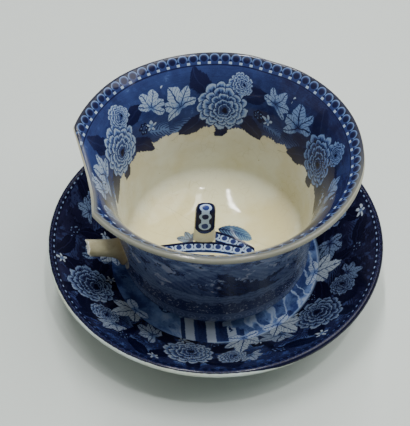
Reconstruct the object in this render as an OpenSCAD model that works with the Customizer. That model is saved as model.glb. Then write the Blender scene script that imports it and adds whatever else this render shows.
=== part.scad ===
// Cup with a flared rim that is cut back straight on one side, on its deep saucer.
// Everything is in millimetres, +Z up. The origin is on the table, at the centre of the
// saucer's foot. The cup's axis is the saucer's axis, and the near side is towards -Y.

/* [Saucer] */
// Outer radius of the saucer at its rim
saucer_r = 70; // [64:1:80]
// Height of the saucer's rim above the table
saucer_h = 28; // [22:0.5:36]
// Thickness of the saucer
saucer_wall = 3; // [2:0.1:4]
// Height of the saucer's well floor above the table
well_z = 6.5; // [5.5:0.1:9]
// Flat well left free around the cup's foot
well_margin = 7; // [3:0.5:10]
// How the saucer's side steepens towards its rim, where 1 is a plain cone
side_steepening = 1.3; // [1:0.05:1.8]

/* [Saucer foot] */
// Step from the edge of the flat well in to the outside of the foot ring
saucer_foot_inset = 1; // [0:0.25:3]
// Width of the foot ring where it meets the saucer
saucer_foot_w = 5; // [4:0.25:8]
// Width of the flat band that the foot ring stands on
saucer_foot_land = 2.6; // [1.5:0.1:3.5]

/* [Cup] */
// Outer radius of the cup at its lip
cup_r = 55.6; // [51:0.2:62]
// Height of the cup from its foot to its lip
cup_h = 70.5; // [60:0.5:85]
// Outer radius of the cup's body, below the flare
cup_body_r = 40; // [36:0.5:45]
// Thickness of the cup's wall at the body
cup_wall = 3.2; // [2.4:0.1:4.2]
// Thickness of the cup's wall at the lip
lip_wall = 2.4; // [1.8:0.1:3.2]
// Thickness of the cup's floor
floor_wall = 5; // [3.5:0.25:7]
// Height of the rounded turn from the cup's underside to its outer wall
heel_h = 9; // [6:0.5:12]
// Radius of the flat floor inside the cup
floor_r = 24; // [18:0.5:28]
// Height of the rounded turn from the inside floor to the inside wall
inner_turn_h = 11; // [7:0.5:15]
// Part of the flare that leans out gently, while the rest curls out near the lip
lean_share = 0.64; // [0.4:0.02:0.9]

/* [Cup foot] */
// Outer radius of the cup's foot ring
cup_foot_r = 31; // [27:0.5:34]
// Height of the cup's foot ring
cup_foot_h = 4.5; // [3:0.25:7]
// Width of the cup's foot ring where it meets the bowl
cup_foot_w = 5; // [4:0.25:8]
// Width of the flat band that the cup's foot stands on
cup_foot_land = 2.6; // [1.5:0.1:3.5]

/* [Cut-back rim] */
// How far the rim is cut back from the full circle of the lip
cut_depth = 5; // [2:0.25:8]
// Direction of the cut from the cup's axis, in degrees from +X
cut_azimuth = 195.5; // [0:0.5:360]
// Width of the slanted edge that softens the cut on the inside
cut_edge = 1; // [0.4:0.1:1.6]

/* [Handle stub] */
// Direction of the stub from the cup's axis, in degrees from +X
stub_azimuth = 200; // [0:0.5:360]
// Height of the stub's root above the cup's foot, at its centre line
stub_root_h = 24; // [20:0.5:32]
// Rise of the stub outwards, in degrees
stub_rise = 22; // [5:1:35]
// Thickness of the stub
stub_d = 7; // [6:0.1:10]
// Length of the stub from the body's outside to the broken end
stub_len = 17; // [11:0.5:24]
// Thickness of the stub where it spreads onto the wall
stub_root_d = 12; // [10.5:0.25:16]
// Length over which the stub spreads onto the wall
stub_spread = 5; // [3:0.25:8]
// Width of the slanted facet along the broken end
break_facet = 1.6; // [0.6:0.1:2.4]

/* [Floor post] */
// Sideways place of the post on the cup's floor, from the axis
post_x = -4.9; // [-8:0.1:8]
// Place of the post's centre behind the axis
post_y = 5.2; // [-6:0.1:8]
// Width of the post at its foot
post_w = 9.6; // [8:0.1:13]
// Width of the post near its top
post_top_w = 8.4; // [6:0.1:10]
// Depth of the post from front to back at its foot
post_d = 7.6; // [5.5:0.1:10]
// Depth of the post from front to back near its top
post_top_d = 6.2; // [4.5:0.1:8]
// Height of the post above the cup's floor
post_h = 20.5; // [14:0.5:28]

/* [Hidden] */
// Names of the sub-parts

// Sides of every round shape
$fn = 96;
// Steps along each curved stretch of an outline
curve_steps = 14;
// Steps along the long flare of the cup
flare_steps = 26;
// Steps round a lip
lip_steps = 10;
// Number of times that the curl's share is raised along the wall
curl_power = 8;
// Number of times that the lean's share is raised along the wall
lean_power = 2;
// Overrun of every cut
overrun = 1;

// Edge of the saucer's flat well
well_r = cup_foot_r + well_margin;
// Height of the saucer's foot ring
saucer_foot_h = well_z - saucer_wall;
// Outside of the saucer's foot ring
saucer_foot_r = well_r - saucer_foot_inset;
// Underside of the cup's bowl, which its foot ring carries
bowl_base_z = well_z + cup_foot_h;
// Inside floor of the cup
floor_z = bowl_base_z + floor_wall;
// Top of the rounded turn outside and inside
heel_z = bowl_base_z + heel_h;
turn_z = floor_z + inner_turn_h;
// Highest point of the lip
lip_z = well_z + cup_h;
// Distance of the cut from the cup's axis
cut_r = cup_r - cut_depth;

// A quarter turn, in degrees
quarter = 90;

// Unit vector square to a run from a to b, to its right
function right_of(a, b) = [b.y - a.y, a.x - b.x] / norm(b - a);

// Points of a curve moved square to it, where side is 1 for right and -1 for left
function moved(points, widths, side) = [
    for (i = [0 : len(points) - 1])
        let (a = points[max(i - 1, 0)], b = points[min(i + 1, len(points) - 1)])
        points[i] + side * widths[i] / 2 * right_of(a, b)
];

// Middle line of the saucer's section, from the axis to the lip
saucer_mid_z = well_z - saucer_wall / 2;
saucer_tip_r = saucer_r - saucer_wall / 2;
saucer_tip_z = saucer_h - saucer_wall / 2;
function saucer_side(share) = [
    well_r + share * (saucer_tip_r - well_r),
    saucer_mid_z + pow(share, side_steepening) * (saucer_tip_z - saucer_mid_z)
];
saucer_mid = concat([[0, saucer_mid_z]],
    [for (i = [0 : flare_steps]) saucer_side(i / flare_steps)]);
saucer_widths = [for (point = saucer_mid) saucer_wall];

// Middle line of the cup's wall, from the top of the outside turn to the lip
wall_foot_r = cup_body_r - cup_wall / 2;
wall_tip_r = cup_r - lip_wall / 2;
wall_tip_z = lip_z - lip_wall / 2;
function flare(share) = lean_share * pow(share, lean_power)
    + (1 - lean_share) * pow(share, curl_power);
function wall_mid(share) = [
    wall_foot_r + flare(share) * (wall_tip_r - wall_foot_r),
    heel_z + share * (wall_tip_z - heel_z)
];
function wall_width(share) = cup_wall + share * (lip_wall - cup_wall);
wall_points = [for (i = [0 : flare_steps]) wall_mid(i / flare_steps)];
wall_widths = [for (i = [0 : flare_steps]) wall_width(i / flare_steps)];
outer_wall = moved(wall_points, wall_widths, 1);
inner_wall = moved(wall_points, wall_widths, -1);

// Rounded turn from a flat of radius flat_r at flat_z up to a wall of radius end_r at end_z
function turn(flat_r, flat_z, end_r, end_z) = [
    for (i = [0 : curve_steps])
        let (angle = quarter * i / curve_steps)
        [flat_r + (end_r - flat_r) * sin(angle), end_z - (end_z - flat_z) * cos(angle)]
];

// Half circle over the end of a wall, from the outer side to the inner side
function lip(centre, outer, half_width) =
    let (start = atan2(outer.y - centre.y, outer.x - centre.x))
    [for (i = [1 : lip_steps - 1])
        let (angle = start + 2 * quarter * i / lip_steps)
        centre + half_width * [cos(angle), sin(angle)]];

// Part of the inside wall above the rounded turn, and the point where the turn meets it
inner_above_turn = [for (point = inner_wall) if (point.y > turn_z) point];
turn_end = inner_above_turn[0];

module saucer_section() {
    outer = moved(saucer_mid, saucer_widths, 1);
    inner = moved(saucer_mid, saucer_widths, -1);
    tip = saucer_mid[len(saucer_mid) - 1];
    rim = lip(tip, outer[len(outer) - 1], saucer_wall / 2);
    polygon(concat(outer, rim, [for (i = [len(inner) - 1 : -1 : 0]) inner[i]]));
}

// Outside of the bowl, from the axis up to the lip
bowl_outside_points = concat([[0, bowl_base_z]],
    turn(cup_foot_r, bowl_base_z, outer_wall[0].x, heel_z),
    [for (i = [1 : flare_steps]) outer_wall[i]]);

module bowl_section() {
    tip = wall_points[flare_steps];
    inner = concat([[0, floor_z]],
        turn(floor_r, floor_z, turn_end.x, turn_end.y),
        [for (i = [1 : len(inner_above_turn) - 1]) inner_above_turn[i]]);
    rim = lip(tip, outer_wall[flare_steps], lip_wall / 2);
    polygon(concat(bowl_outside_points, rim, [for (i = [len(inner) - 1 : -1 : 0]) inner[i]]));
}

// Ring that stands on a narrow flat band and widens up to the piece that it carries
module foot_ring(outer_r, width, land, bottom_z, height) {
    side = (width - land) / 2;
    translate([0, 0, bottom_z])
        rotate_extrude()
            polygon([
                [outer_r - side, 0],
                [outer_r, height],
                [outer_r - width, height],
                [outer_r - side - land, 0]
            ]);
}

// Everything beyond the cut on the rim, seen along the direction of the cut
module rim_cut() {
    reach = 2 * cup_r;
    rotate([0, 0, cut_azimuth])
        translate([cut_r, -reach / 2, heel_z])
            cube([reach, reach, cup_h]);
    rotate([0, 0, cut_azimuth])
        translate([cut_r - cut_edge, 0, lip_z])
            rotate([0, quarter / 2, 0])
                translate([0, -reach / 2, -overrun])
                    cube([reach, reach, reach]);
}

module saucer_dish() {
    color("midnightblue")
        rotate_extrude()
            saucer_section();
}

module saucer_foot_ring() {
    color("lightsteelblue")
        foot_ring(saucer_foot_r, saucer_foot_w, saucer_foot_land, 0, saucer_foot_h);
}

module cup_bowl() {
    color("royalblue")
        difference() {
            rotate_extrude()
                bowl_section();
            rim_cut();
        }
}

module cup_foot_ring() {
    color("ivory")
        foot_ring(cup_foot_r, cup_foot_w, cup_foot_land, well_z, cup_foot_h);
}

// Solid of the bowl's outside, which the stub's root is shaped to
module bowl_outside() {
    rotate_extrude()
        polygon(concat(bowl_outside_points, [[0, outer_wall[flare_steps].y]]));
}

// Outline of the stub along its own axis: a root that spreads, then an even round bar
function stub_outline() = concat(
    [[0, -stub_root_d / 2], [stub_root_d / 2, -stub_root_d / 2], [stub_root_d / 2, 0]],
    [for (i = [1 : curve_steps])
        let (angle = quarter * i / curve_steps)
        [stub_root_d / 2 - (stub_root_d - stub_d) / 2 * sin(angle),
            stub_spread * (1 - cos(angle))]],
    [[stub_d / 2, stub_len - break_facet], [stub_d / 2 - break_facet, stub_len], [0, stub_len]]
);

module handle_stub() {
    color("tan")
        difference() {
            rotate([0, 0, stub_azimuth])
                translate([cup_body_r, 0, well_z + stub_root_h])
                    rotate([0, quarter - stub_rise, 0])
                        rotate_extrude()
                            polygon(stub_outline());
            bowl_outside();
        }
}

// Upright outline with a round top, where width narrows from the foot to the top
module post_outline(width, top_width) {
    top_r = top_width / 2;
    union() {
        polygon([
            [-width / 2, 0],
            [width / 2, 0],
            [top_r, post_h - top_r],
            [-top_r, post_h - top_r]
        ]);
        translate([0, post_h - top_r])
            circle(r = top_r);
    }
}

module floor_post() {
    color("ivory")
        translate([post_x, post_y, floor_z])
            intersection() {
                translate([0, post_d / 2, 0])
                    rotate([quarter, 0, 0])
                        linear_extrude(post_d)
                            post_outline(post_w, post_top_w);
                translate([-post_w / 2, 0, 0])
                    rotate([quarter, 0, quarter])
                        linear_extrude(post_w)
                            post_outline(post_d, post_top_d);
            }
}

saucer_dish();
saucer_foot_ring();
cup_bowl();
cup_foot_ring();
handle_stub();
floor_post();
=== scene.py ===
"""Glazed, blue-printed cup with a flared rim and a deep saucer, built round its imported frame."""

import math

import bmesh
import bpy
import numpy as np
from mathutils import Euler, Matrix, Vector


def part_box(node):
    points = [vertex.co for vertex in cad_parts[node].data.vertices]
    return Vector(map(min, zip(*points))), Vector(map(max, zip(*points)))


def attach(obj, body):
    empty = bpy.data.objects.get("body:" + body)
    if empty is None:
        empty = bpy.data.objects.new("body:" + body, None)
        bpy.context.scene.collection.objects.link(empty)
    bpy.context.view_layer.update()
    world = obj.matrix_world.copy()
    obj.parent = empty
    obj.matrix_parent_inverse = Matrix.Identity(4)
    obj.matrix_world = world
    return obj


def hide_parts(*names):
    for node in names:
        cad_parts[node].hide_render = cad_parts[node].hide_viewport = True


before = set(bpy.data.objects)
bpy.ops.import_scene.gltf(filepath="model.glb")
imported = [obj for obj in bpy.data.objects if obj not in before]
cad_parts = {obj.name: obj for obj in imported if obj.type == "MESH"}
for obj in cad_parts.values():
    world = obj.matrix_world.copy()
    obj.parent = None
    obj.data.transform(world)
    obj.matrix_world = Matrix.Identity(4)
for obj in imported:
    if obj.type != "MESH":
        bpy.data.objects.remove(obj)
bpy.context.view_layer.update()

bl_info = {
    "name": "Flared cup and saucer",
    "version": (1, 0, 0),
    "blender": (4, 5, 0),
    "location": "3D View > Sidebar > Cup",
    "description": "Makes a blue-printed cup with a cut-back rim, and its saucer",
    "category": "Add Mesh",
}

MM = 0.001
TURN = 2 * math.pi
BOWL_LOW, BOWL_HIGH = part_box("cup_bowl")
CUP_FOOT_LOW, CUP_FOOT_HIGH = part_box("cup_foot_ring")
SAUCER_LOW, SAUCER_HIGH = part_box("saucer_dish")
SAUCER_FOOT_LOW, SAUCER_FOOT_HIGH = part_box("saucer_foot_ring")
POST_LOW, POST_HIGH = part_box("floor_post")


# Settings that a user would change

class CupSettings(bpy.types.PropertyGroup):
    """Sizes of the cup that its box doesn't give."""

    body_radius: bpy.props.FloatProperty(
        name="Body radius", description="Outside of the body below the flare",
        default=40 * MM, unit="LENGTH")
    wall: bpy.props.FloatProperty(
        name="Wall", description="Thickness of the body's wall", default=3.2 * MM, unit="LENGTH")
    lip_wall: bpy.props.FloatProperty(
        name="Lip", description="Thickness of the lip", default=2.4 * MM, unit="LENGTH")
    heel: bpy.props.FloatProperty(
        name="Heel", description="Height of the turn from the underside to the wall",
        default=9 * MM, unit="LENGTH")
    floor_radius: bpy.props.FloatProperty(
        name="Floor radius", description="Flat floor inside the cup",
        default=17 * MM, unit="LENGTH")
    turn: bpy.props.FloatProperty(
        name="Inside turn", description="Height of the turn from the floor to the inside wall",
        default=11 * MM, unit="LENGTH")
    lean_share: bpy.props.FloatProperty(
        name="Lean share", description="Part of the flare that leans out gently",
        default=0.64, subtype="FACTOR")
    cut_depth: bpy.props.FloatProperty(
        name="Cut depth", description="How far the rim is cut back from its circle",
        default=5 * MM, unit="LENGTH")
    cut_bow: bpy.props.FloatProperty(
        name="Cut bow", description="How much deeper than straight the cut is at its middle",
        default=1.5 * MM, unit="LENGTH")
    cut_azimuth: bpy.props.FloatProperty(
        name="Cut direction", description="Direction of the cut from the axis",
        default=math.radians(195.5), unit="ROTATION")


class SaucerSettings(bpy.types.PropertyGroup):
    """Sizes of the saucer that its box doesn't give."""

    wall: bpy.props.FloatProperty(
        name="Wall", description="Thickness of the saucer", default=3 * MM, unit="LENGTH")
    well_radius: bpy.props.FloatProperty(
        name="Well radius", description="Edge of the flat well", default=38 * MM, unit="LENGTH")
    steepening: bpy.props.FloatProperty(
        name="Steepening", description="How the side steepens towards the rim", default=1.3)
    print_ring: bpy.props.FloatProperty(
        name="Print ring", description="Radius of the pale line round the well's print",
        default=45 * MM, unit="LENGTH")


class StubSettings(bpy.types.PropertyGroup):
    """Sizes of the broken handle's stub."""

    azimuth: bpy.props.FloatProperty(
        name="Direction", description="Direction of the stub from the axis",
        default=math.radians(200), unit="ROTATION")
    root_height: bpy.props.FloatProperty(
        name="Root height", description="Height of the root's centre above the cup's foot",
        default=24 * MM, unit="LENGTH")
    rise: bpy.props.FloatProperty(
        name="Rise", description="Rise of the stub outwards",
        default=math.radians(22), unit="ROTATION")
    thickness: bpy.props.FloatProperty(
        name="Thickness", description="Thickness of the stub", default=7 * MM, unit="LENGTH")
    length: bpy.props.FloatProperty(
        name="Length", description="Length from the wall to the broken end",
        default=16 * MM, unit="LENGTH")
    root_width: bpy.props.FloatProperty(
        name="Root width", description="Width of the root where it spreads onto the wall",
        default=12 * MM, unit="LENGTH")


class FootSettings(bpy.types.PropertyGroup):
    """Sizes that both foot rings share."""

    width: bpy.props.FloatProperty(
        name="Width", description="Width of a ring where it meets the piece above",
        default=5 * MM, unit="LENGTH")
    land: bpy.props.FloatProperty(
        name="Land", description="Width of the flat band that a ring stands on",
        default=2.6 * MM, unit="LENGTH")


class PostSettings(bpy.types.PropertyGroup):
    """Sizes of the floor post that its box doesn't give."""

    top_width: bpy.props.FloatProperty(
        name="Top width", description="Width under the rounded top", default=9 * MM,
        unit="LENGTH")
    top_depth: bpy.props.FloatProperty(
        name="Top depth", description="Depth under the rounded top", default=6.4 * MM,
        unit="LENGTH")
    lean: bpy.props.FloatProperty(
        name="Lean", description="Sideways lean for each length of height", default=0.045)


class PrintSettings(bpy.types.PropertyGroup):
    """Colours of the glaze and of the blue print under it."""

    glaze: bpy.props.FloatVectorProperty(
        name="Glaze", description="Cream of the bare glaze", subtype="COLOR", size=3,
        default=(0.538, 0.522, 0.388))
    ink_white: bpy.props.FloatVectorProperty(
        name="Print white", description="Lightest tone inside the print", subtype="COLOR",
        size=3, default=(0.285, 0.345, 0.405))
    ink_pale: bpy.props.FloatVectorProperty(
        name="Pale ink", description="Pale blue of the print", subtype="COLOR", size=3,
        default=(0.092, 0.153, 0.293))
    ink_mid: bpy.props.FloatVectorProperty(
        name="Middle ink", description="Middle blue of the print's ground", subtype="COLOR",
        size=3, default=(0.0212, 0.036, 0.117))
    ink_dark: bpy.props.FloatVectorProperty(
        name="Dark ink", description="Navy of the print", subtype="COLOR", size=3,
        default=(0.0085, 0.0103, 0.040))
    ink_black: bpy.props.FloatVectorProperty(
        name="Darkest ink", description="Near black of the darkest leaves", subtype="COLOR",
        size=3, default=(0.0024, 0.0030, 0.016))
    clay: bpy.props.FloatVectorProperty(
        name="Bare clay", description="Broken clay", subtype="COLOR", size=3,
        default=(0.80, 0.79, 0.72))
    stain: bpy.props.FloatVectorProperty(
        name="Stain", description="Old brown stain in the worn glaze", subtype="COLOR", size=3,
        default=(0.20, 0.135, 0.06))


class StageSettings(bpy.types.PropertyGroup):
    """The plain floor and the soft studio light."""

    floor: bpy.props.FloatVectorProperty(
        name="Floor", description="Colour of the plain floor", subtype="COLOR", size=3,
        default=(0.465, 0.50, 0.47))
    sky: bpy.props.FloatProperty(
        name="Sky", description="Strength of the even light from all round", default=0.20)
    key: bpy.props.FloatProperty(
        name="Key lamp", description="Power of the large soft lamp", default=9.2, unit="POWER")
    strip: bpy.props.FloatProperty(
        name="Strip lamp", description="Power of the narrow strip lamp", default=9.6,
        unit="POWER")


# Fields: numbers and vectors that vary over a surface

class Field:
    """One output of a material's node tree, with plain arithmetic."""

    def __init__(self, tree, socket):
        self.tree = tree
        self.socket = socket

    def __add__(self, other):
        return calc("ADD", self, other)

    def __sub__(self, other):
        return calc("SUBTRACT", self, other)

    def __rsub__(self, other):
        return calc("SUBTRACT", other, self)

    def __mul__(self, other):
        return calc("MULTIPLY", self, other)

    def __rmul__(self, other):
        return calc("MULTIPLY", self, other)

    def __truediv__(self, other):
        return calc("DIVIDE", self, other)

    def __neg__(self):
        return calc("MULTIPLY", self, -1.0)

    def __abs__(self):
        return calc("ABSOLUTE", self)


def feed(tree, socket, value):
    """Links a field to an input, or writes a plain number, vector or colour there."""
    if isinstance(value, Field):
        tree.links.new(value.socket, socket)
    else:
        socket.default_value = value


def tree_of(values):
    """Node tree of the first field among some values."""
    return next(value.tree for value in values if isinstance(value, Field))


def step_node(kind, operation, operands):
    """Tree and outputs of a new node that takes one step on fields, numbers and vectors."""
    tree = tree_of(operands)
    node = tree.nodes.new(kind)
    node.operation = operation
    for socket, value in zip(node.inputs, operands):
        feed(tree, socket, value)
    return tree, node.outputs


def calc(operation, *operands):
    """Field of one arithmetic step on fields and numbers."""
    tree, outputs = step_node("ShaderNodeMath", operation, operands)
    return Field(tree, outputs[0])


def vector_calc(operation, *operands):
    """Vector field of one step on vector fields and vectors."""
    tree, outputs = step_node("ShaderNodeVectorMath", operation, operands)
    return Field(tree, outputs[0])


def length_of(vector):
    """Length of a vector field."""
    tree, outputs = step_node("ShaderNodeVectorMath", "LENGTH", (vector,))
    return Field(tree, outputs["Value"])


def tinted(colour, tint):
    """Colour field times a tint."""
    return vector_calc("MULTIPLY", colour, tint)


def shaken(vector, chance_colour, amount):
    """Coordinates moved by a chance colour, by up to half the amount to each side."""
    half = -amount / 2
    shift = vector_calc("MULTIPLY_ADD", chance_colour, (amount, amount, 0.0), (half, half, 0.0))
    return vector_calc("ADD", vector, shift)


def least(a, b):
    return calc("MINIMUM", a, b)


def most(a, b):
    return calc("MAXIMUM", a, b)


def sine(a):
    return calc("SINE", a)


def cosine(a):
    return calc("COSINE", a)


def fraction(a):
    return calc("FRACT", a)


def direction(x, y):
    return calc("ARCTAN2", y, x)


def raised(a, power):
    return calc("POWER", a, power)


def step_up(field, low, high):
    """Field that rises smoothly from 0 at low to 1 at high, or falls where high is below low."""
    node = field.tree.nodes.new("ShaderNodeMapRange")
    node.interpolation_type = "SMOOTHSTEP"
    feed(field.tree, node.inputs["Value"], field)
    node.inputs["From Min"].default_value = low
    node.inputs["From Max"].default_value = high
    return Field(field.tree, node.outputs[0])


MIX_SOCKETS = {"FLOAT": (2, 3, 0), "VECTOR": (4, 5, 1), "RGBA": (6, 7, 2)}


def blended(kind, a, b, share):
    """Field of a mix node: a where share is 0 and b where it is 1."""
    tree = share.tree
    node = tree.nodes.new("ShaderNodeMix")
    node.data_type = kind
    low, high, result = MIX_SOCKETS[kind]
    for place, value in ((0, share), (low, a), (high, b)):
        feed(tree, node.inputs[place], value)
    return Field(tree, node.outputs[result])


def blend_numbers(a, b, share):
    return blended("FLOAT", a, b, share)


def blend_vectors(a, b, share):
    return blended("VECTOR", a, b, share)


def blend_colours(a, b, share):
    a, b = (value if isinstance(value, Field) else (*value, 1.0) for value in (a, b))
    return blended("RGBA", a, b, share)


def joined(x, y, z=0.0):
    """Vector field of three numbers."""
    tree = tree_of((x, y, z))
    node = tree.nodes.new("ShaderNodeCombineXYZ")
    for socket, value in zip(node.inputs, (x, y, z)):
        feed(tree, socket, value)
    return Field(tree, node.outputs[0])


def parts_of(vector):
    """The three numbers of a vector field, or the three parts of a colour field."""
    node = vector.tree.nodes.new("ShaderNodeSeparateXYZ")
    feed(vector.tree, node.inputs[0], vector)
    return [Field(vector.tree, socket) for socket in node.outputs]


def placed(vector, x, y, degrees, size, flip=1.0):
    """Coordinates as seen by a motif at (x, y), turned by degrees, in units of its size."""
    node = vector.tree.nodes.new("ShaderNodeMapping")
    node.vector_type = "TEXTURE"
    feed(vector.tree, node.inputs["Vector"], vector)
    node.inputs["Location"].default_value = (x, y, 0.0)
    node.inputs["Rotation"].default_value = (0.0, 0.0, math.radians(degrees))
    node.inputs["Scale"].default_value = (size, size * flip, 1.0)
    return Field(vector.tree, node.outputs[0])


def noise(vector, scale, detail=2.0, roughness=0.5):
    """Smooth noise of about 0 to 1, with its colour as a second field."""
    node = vector.tree.nodes.new("ShaderNodeTexNoise")
    feed(vector.tree, node.inputs["Vector"], vector)
    node.inputs["Scale"].default_value = scale
    node.inputs["Detail"].default_value = detail
    node.inputs["Roughness"].default_value = roughness
    return Field(vector.tree, node.outputs[0]), Field(vector.tree, node.outputs[1])


def cells(vector, scale, feature="F1"):
    """Distance to the nearest cell centre or edge, with the cell's colour as a second field."""
    node = vector.tree.nodes.new("ShaderNodeTexVoronoi")
    node.feature = feature
    feed(vector.tree, node.inputs["Vector"], vector)
    node.inputs["Scale"].default_value = scale
    colour = None if feature == "DISTANCE_TO_EDGE" else Field(vector.tree, node.outputs[1])
    return Field(vector.tree, node.outputs[0]), colour


def chance(number):
    """Three chance numbers of 0 to 1 for each whole number, as a vector field."""
    node = number.tree.nodes.new("ShaderNodeTexWhiteNoise")
    node.noise_dimensions = "1D"
    feed(number.tree, node.inputs["W"], number)
    return Field(number.tree, node.outputs["Color"])


def attribute(tree, name):
    """Number that the mesh holds for each of its points."""
    node = tree.nodes.new("ShaderNodeAttribute")
    node.attribute_name = name
    return Field(tree, node.outputs["Fac"])


# Motifs: each takes coordinates in units of its own size and returns its cover and its tone

def nearest(vector, places):
    """Coordinates as seen by the nearest of several like motifs."""
    best = best_distance = None
    for place in places:
        here = placed(vector, *place)
        distance = length_of(here)
        if best is None:
            best, best_distance = here, distance
            continue
        best = blend_vectors(best, here, calc("LESS_THAN", distance, best_distance))
        best_distance = least(best_distance, distance)
    return best


# Each ring of petals: its share of the bloom, its count of petals and its turn
BLOOM_RINGS = ((1.0, 13, 0.0), (0.80, 11, 0.9), (0.60, 9, 0.3), (0.42, 7, 1.4), (0.25, 5, 0.5))


def bloom(vector):
    """Full bloom of five rings of round petals, each ring drawn over the one outside it."""
    cover = tone = None
    for share, petals, phase in BLOOM_RINGS:
        drop = 0.22 * (1 - share)
        ring = placed(vector, 0.05 * (1 - share), -drop, 0, share)
        x, y, _ = parts_of(ring)
        reach = length_of(ring)
        angle = direction(x, y)
        petal = abs(cosine(angle * (petals / 2) + phase))
        edge = raised(petal, 0.45) * 0.20 + 0.80
        depth = edge - reach
        inside = step_up(depth, -0.02, 0.02)
        outline = step_up(depth, 0.06, 0.02)
        groove = step_up(petal, 0.20, 0.06) * step_up(depth, 0.45, 0.1)
        rays = step_up(sine(angle * (petals * 3)), -0.1, 0.8) * step_up(depth, 0.08, 0.26)
        shade = step_up(depth, 0.06, 0.30) * 0.46
        ring_tone = most(most(outline * 0.66, groove * 0.70), rays * 0.26 + shade) + 0.02
        if tone is None:
            cover, tone = inside, ring_tone
        else:
            tone = blend_numbers(tone, ring_tone, inside)
    heart = step_up(length_of(placed(vector, 0.04, -0.18, 0, 1)), 0.13, 0.07)
    return cover, blend_numbers(tone, 0.92, heart)


def half_width(along, width, fullness):
    """Half the width of a leaf at a share of its length."""
    return raised(most(along * (1.0 - along) * 4.0, 0.0), fullness) * width


def from_midrib(vector):
    """Way along a bowed leaf, 0 at its base to 1 at its tip, and distance from its midrib."""
    x, y, _ = parts_of(vector)
    along = x + 0.5
    return along, abs(y - sine(along * 3.1) * 0.07)


def veined_leaf(vector):
    """Leaf of five pointed lobes, each with its own rib and side veins."""
    x, y, _ = parts_of(vector)
    x = x + 0.30
    spread = math.radians(50)
    reach = length_of(joined(x, y))
    angle = direction(x, y)
    lobe = most(least(calc("ROUND", angle / spread), 2.0), -2.0)
    swing = angle - lobe * spread
    along = reach * cosine(swing)
    across = abs(reach * sine(swing))
    longest = 0.92 - abs(lobe) * 0.13
    share = along / longest
    teeth = fraction(along * 9.0 - across * 5.0) * 0.10 + 0.95
    edge = raised(most(1.0 - share, 0.0), 0.75) * (share * 0.9 + 0.22) * teeth * longest * 0.72
    depth = edge - across
    cover = step_up(depth, -0.012, 0.012) * step_up(along, -0.05, 0.0)
    vein_wave = abs(fraction((along - across * 0.9) * 7.0) - 0.5)
    veins = step_up(vein_wave, 0.14, 0.05) * step_up(depth, 0.02, 0.06)
    rib = step_up(across, 0.030, 0.012)
    outline = step_up(depth, 0.035, 0.01)
    tone = most(most(veins * 0.38, rib * 0.60), outline * 0.50)
    return cover, most(tone, step_up(reach, 0.32, 0.0) * 0.32 + 0.03)


def dark_leaf(vector):
    """Pointed leaf in the darkest ink, with a faint midrib."""
    along, across = from_midrib(vector)
    teeth = fraction(along * 8.0 - across * 4.0)
    edge = half_width(along, 0.26, 0.7) * (teeth * 0.12 + 0.9)
    cover = step_up(edge - across, -0.015, 0.015)
    midrib = step_up(across, 0.03, 0.008)
    return cover, 1.0 - midrib * 0.10


def frond(vector):
    """Feathery leaf of narrow leaflets that taper from a curved stalk."""
    along, across = from_midrib(vector)
    share = across / most(half_width(along, 0.27, 0.55), 0.01)
    leaflet = abs(fraction((along - across * 0.9 - across * across * 1.2) * 11.0) - 0.5)
    blade = step_up(leaflet - share * 0.24, 0.12, 0.20) * step_up(share, 1.0, 0.92)
    stalk = step_up(across, 0.028, 0.014)
    cover = most(blade, stalk) * step_up(abs(along - 0.5), 0.52, 0.50)
    return cover, share * 0.22 + 0.12


def sprig(vector):
    """Small star of five narrow white petals."""
    x, y, _ = parts_of(vector)
    angle = direction(x, y)
    reach = length_of(vector)
    petal = abs(cosine(angle * 2.5))
    edge = raised(petal, 1.6) * 0.8 + 0.15
    cover = step_up(edge - reach, -0.03, 0.03)
    return cover, step_up(reach, 0.5, 0.1) * 0.35 + 0.08


BERRIES = 6


def berries(vector):
    """Ring of six round berries with a highlight on each."""
    x, y, _ = parts_of(vector)
    angle = direction(x, y)
    sector = TURN / BERRIES
    local = fraction(angle / sector + 0.5) - 0.5
    reach = length_of(vector)
    ahead = reach * cosine(local * sector) - 0.62
    aside = reach * sine(local * sector)
    cover = step_up(length_of(joined(ahead, aside)), 0.36, 0.30)
    glint = step_up(length_of(joined(ahead + 0.08, aside + 0.08)), 0.15, 0.08)
    return cover, 0.94 - glint * 0.6


# Prints: each returns the ink's tone, 0 for its white to 1 for its darkest, and some a cover

# Border of beads, in millimetres from its top: the beads, the squares and the line at its foot
BEAD_PITCH = 4.4
BEAD_MIDDLE = 2.55
SQUARE_MIDDLE = 4.3
BORDER_LINE = 5.2


def bead_border(along, across, bold=0.0):
    """Border of ringed beads, 5.5 mm wide, with squares between. Fields are in millimetres.

    bold is 0 for the fine border under the lip and 1 for the heavier strips on the floor.
    """
    aside = abs(fraction(along / BEAD_PITCH) - 0.5) * BEAD_PITCH
    away = length_of(joined(aside, across - BEAD_MIDDLE))
    tone = blend_numbers(0.97, 0.66 - bold * 0.3, step_up(across - aside * 0.35, 2.6, 3.3))
    tone = blend_numbers(tone, 0.64 - bold * 0.4, step_up(away, 2.0, 1.8))
    inner = 1.72 - bold * 0.34
    ring = step_up(away, 2.16, 2.04) * step_up(away, inner - 0.12, inner)
    ring = ring * step_up(across, 3.6 + bold * 1.5, 2.4 + bold * 1.8)
    tone = blend_numbers(tone, 0.32 - bold * 0.22, ring)
    between = BEAD_PITCH / 2 - aside
    square = step_up(between, 0.78, 0.60) * step_up(abs(across - SQUARE_MIDDLE), 0.62, 0.45)
    tone = blend_numbers(tone, 0.10, square)
    tone = blend_numbers(tone, 0.90 - bold * 0.18, step_up(away, 1.36, 1.16))
    top_line = step_up(across, 0.6 + bold * 0.75, 0.4 + bold * 0.75)
    foot_line = step_up(abs(across - BORDER_LINE), 0.30 + bold * 0.2, 0.15 + bold * 0.2)
    return blend_numbers(tone, 0.92 + bold * 0.08, most(top_line, foot_line))


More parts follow.
